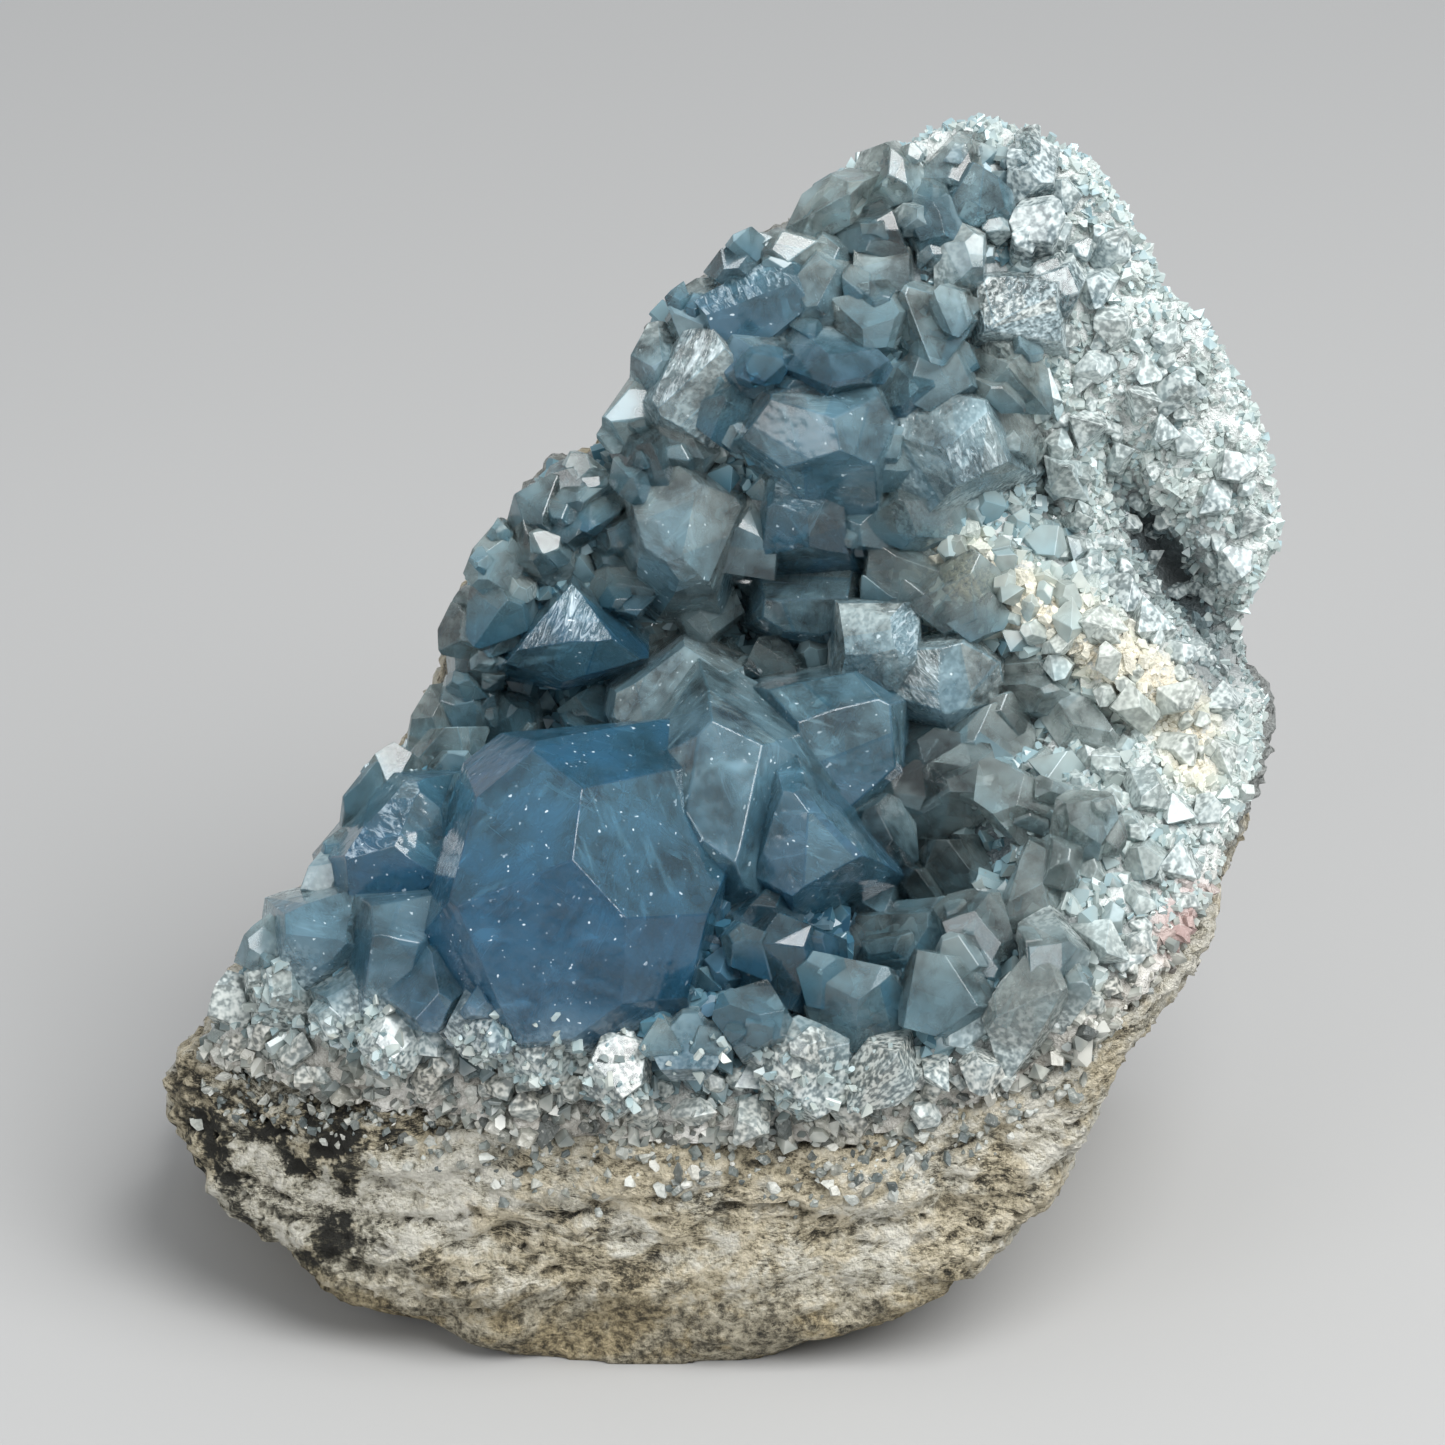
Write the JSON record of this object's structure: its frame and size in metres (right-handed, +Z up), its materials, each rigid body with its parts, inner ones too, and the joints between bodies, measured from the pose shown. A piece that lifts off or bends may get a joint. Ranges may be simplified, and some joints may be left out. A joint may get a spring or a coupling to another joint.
{
  "type": "celestite crystal cluster",
  "caption": "Broken piece of geode wall with a crust of blocky pale to deep blue celestite crystals on pale layered host rock, standing on its own rough foot.",
  "frame": {"origin": "middle of the specimen's bounding box, on the surface it stands on", "axes": "+Z up; the hollow crystal face looks towards -Y and leans back by about 25 degrees; +X to the viewer's right"},
  "size_m": [0.1306, 0.0931, 0.1265],
  "materials": {
    "host_rock": "rough, granular and layered limestone",
    "celestite": "translucent crystal with glassy faces, milky towards the root"
  },
  "bodies": {
    "root": {"host_rock": "host_rock", "celestite_crystals": "celestite"}
  },
  "joints": []
}
